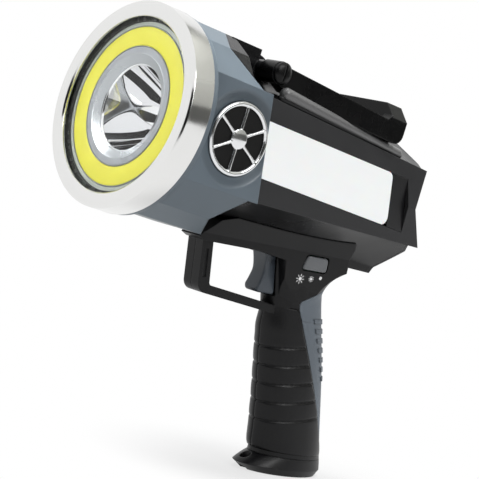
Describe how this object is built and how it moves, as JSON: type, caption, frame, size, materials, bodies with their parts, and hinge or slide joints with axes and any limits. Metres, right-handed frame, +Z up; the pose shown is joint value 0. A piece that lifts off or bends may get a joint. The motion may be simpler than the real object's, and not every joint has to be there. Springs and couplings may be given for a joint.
{
  "type": "handheld searchlight",
  "caption": "Pistol-grip searchlight with a round spot and flood head, white side panels, a trigger in a guard and a folding handle on top.",
  "frame": {"origin": "on the sole of the base cap, under the grip's middle, on the middle plane", "axes": "+X the way the beam points in plan, +Y to the lamp's left, +Z up"},
  "size_m": [0.2499, 0.13, 0.282],
  "materials": {
    "satin_metal": "satin machined ring",
    "lens_clear": "clear flat window",
    "gasket_black": "matt black seal",
    "board_grey": "pale grey annular board",
    "flood_yellow": "even yellow phosphor ring",
    "reflector_bright": "bright vacuum coated bowl",
    "sink_metal": "cast, plain",
    "head_grey": "moulded blue-grey, fine texture",
    "screw_steel": "plated screw steel",
    "grille_silver": "bright plated trim",
    "shell_black": "moulded black, satin",
    "arm_black": "moulded black, smooth",
    "diffuser_white": "milky white, satin",
    "circuit_green": "lacquered board",
    "strap_grey": "moulded blue-grey rubber",
    "washer_white": "slippery washer plastic",
    "trigger_grey": "moulded dark grey",
    "button_grey": "moulded grey",
    "cell_wrap": "shrink wrapped steel cans"
  },
  "bodies": {
    "lamp": {"backstrap": "strap_grey", "base_cap": "shell_black", "base_screws": "screw_steel", "battery_carrier": "shell_black", "battery_cells": "cell_wrap", "bezel_ring": "satin_metal", "body_screws": "screw_steel", "body_shell_left": "shell_black", "body_shell_right": "shell_black", "charge_port": "screw_steel", "driver_board": "circuit_green", "flood_board": "board_grey", "flood_ring": "flood_yellow", "front_lens": "lens_clear", "grille_backing_left": "head_grey", "grille_backing_right": "head_grey", "grip_screws": "screw_steel", "grip_shell_left": "shell_black", "grip_shell_right": "shell_black", "head_screws": "screw_steel", "head_shell": "head_grey", "heat_sink": "sink_metal", "lens_gasket": "gasket_black", "mode_board": "circuit_green", "pivot_cap_left": "arm_black", "pivot_cap_right": "arm_black", "pivot_washers": "washer_white", "rear_cover": "shell_black", "rear_screws": "screw_steel", "reflector": "reflector_bright", "side_diffuser_left": "diffuser_white", "side_diffuser_right": "diffuser_white", "side_frame_left": "shell_black", "side_frame_right": "shell_black", "side_grille_left": "grille_silver", "side_grille_right": "grille_silver", "side_light_board_left": "circuit_green", "side_light_board_right": "circuit_green", "spot_light": "reflector_bright", "trigger_pin": "screw_steel", "trigger_spring": "screw_steel", "trigger_switch": "shell_black"},
    "bail": {"bail_handle": "arm_black"},
    "trigger": {"trigger": "trigger_grey"},
    "mode_button": {"mode_button": "button_grey"},
    "port_cover": {"port_cover": "strap_grey"}
  },
  "joints": [
    {"name": "bail_swing", "type": "hinge", "parent": "lamp", "child": "bail", "pos_m": [0.11169, 0, 0.25759], "axis": [0, 1, 0], "range_deg": [0, 120]},
    {"name": "trigger_pull", "type": "hinge", "parent": "lamp", "child": "trigger", "pos_m": [0.0505, 0, 0.149], "axis": [0, 1, 0], "range_deg": [0, 7], "stiffness_Nm_per_rad": 0.12, "springref_deg": -5.73},
    {"name": "mode_button_press", "type": "slide", "parent": "lamp", "child": "mode_button", "axis": [0, -1, 0], "range_m": [0, 0.001], "stiffness_N_per_m": 800, "springref_m": -0.0005},
    {"name": "port_cover_swing", "type": "hinge", "parent": "lamp", "child": "port_cover", "pos_m": [-0.03344, 0, 0.21415], "axis": [0, 1, 0], "range_deg": [0, 95]}
  ]
}
